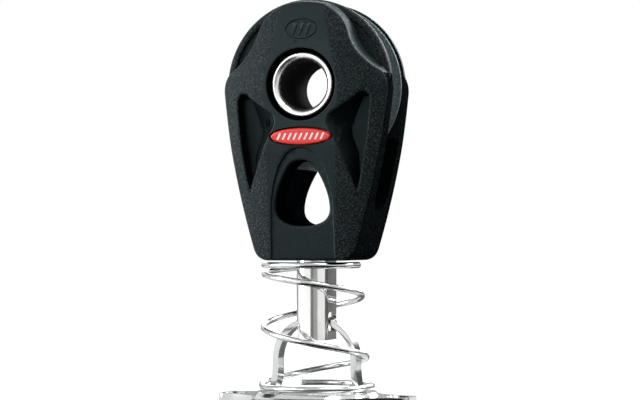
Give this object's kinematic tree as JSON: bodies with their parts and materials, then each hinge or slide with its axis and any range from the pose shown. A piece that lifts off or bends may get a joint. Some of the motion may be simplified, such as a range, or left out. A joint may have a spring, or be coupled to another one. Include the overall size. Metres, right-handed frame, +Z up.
{
  "type": "stand-up block",
  "caption": "Small pulley block with a ball-bearing rope sheave between two moulded cheeks, held upright on a screw-down foot by a conical spring round a hinged channel post.",
  "frame": {"origin": "middle of the foot's underside", "axes": "+Z up from the foot to the top of the block, X along the foot between its two screw ears, Y along the sheave's axle with the badge side at -Y"},
  "size_m": [0.0386, 0.0254, 0.0772],
  "materials": {
    "nylon": "spark-eroded grain on the side facets, satin on the flat ones",
    "badge_red": "smooth, with a plain pale motif",
    "polished_steel": "polished stainless steel",
    "spring_steel": "bright drawn stainless wire",
    "race_plastic": "satin",
    "sheave_plastic": "satin",
    "ball_plastic": "smooth"
  },
  "bodies": {
    "foot": {"base_plate": "polished_steel", "bail": "polished_steel"},
    "spring_coil": {"spring": "spring_steel"},
    "block": {"post": "polished_steel", "post_pin": "polished_steel", "front_cheek": "nylon", "rear_cheek": "nylon", "badge": "badge_red", "hub_tube": "polished_steel", "inner_race": "race_plastic"},
    "wheel": {"sheave": "sheave_plastic"},
    "ball_set": {"ball_front_01": "ball_plastic", "ball_front_02": "ball_plastic", "ball_front_03": "ball_plastic", "ball_front_04": "ball_plastic", "ball_front_05": "ball_plastic", "ball_front_06": "ball_plastic", "ball_front_07": "ball_plastic", "ball_front_08": "ball_plastic", "ball_front_09": "ball_plastic", "ball_front_10": "ball_plastic", "ball_front_11": "ball_plastic", "ball_front_12": "ball_plastic", "ball_front_13": "ball_plastic", "ball_front_14": "ball_plastic", "ball_front_15": "ball_plastic", "ball_front_16": "ball_plastic", "ball_rear_01": "ball_plastic", "ball_rear_02": "ball_plastic", "ball_rear_03": "ball_plastic", "ball_rear_04": "ball_plastic", "ball_rear_05": "ball_plastic", "ball_rear_06": "ball_plastic", "ball_rear_07": "ball_plastic", "ball_rear_08": "ball_plastic", "ball_rear_09": "ball_plastic", "ball_rear_10": "ball_plastic", "ball_rear_11": "ball_plastic", "ball_rear_12": "ball_plastic", "ball_rear_13": "ball_plastic", "ball_rear_14": "ball_plastic", "ball_rear_15": "ball_plastic", "ball_rear_16": "ball_plastic"}
  },
  "joints": [
    {"name": "side_tilt", "type": "hinge", "parent": "foot", "child": "spring_coil", "pos_m": [0, 0, 0.0085], "axis": [0, 1, 0], "range_deg": [-20, 20], "stiffness_Nm_per_rad": 0.1, "deforming": ["spring"]},
    {"name": "fore_aft_tilt", "type": "hinge", "parent": "spring_coil", "child": "block", "pos_m": [0, 0, 0.0164], "axis": [1, 0, 0], "range_deg": [-20, 20], "stiffness_Nm_per_rad": 0.1, "deforming": ["spring"]},
    {"name": "sheave_spin", "type": "hinge", "parent": "block", "child": "wheel", "pos_m": [0, 0, 0.0608], "axis": [0, 1, 0], "continuous": true},
    {"name": "ball_orbit", "type": "hinge", "parent": "block", "child": "ball_set", "pos_m": [0, 0, 0.0608], "axis": [0, 1, 0], "continuous": true}
  ],
  "couplings": [
    {"joint": "ball_orbit", "follows": "sheave_spin", "ratio": 0.5882}
  ]
}
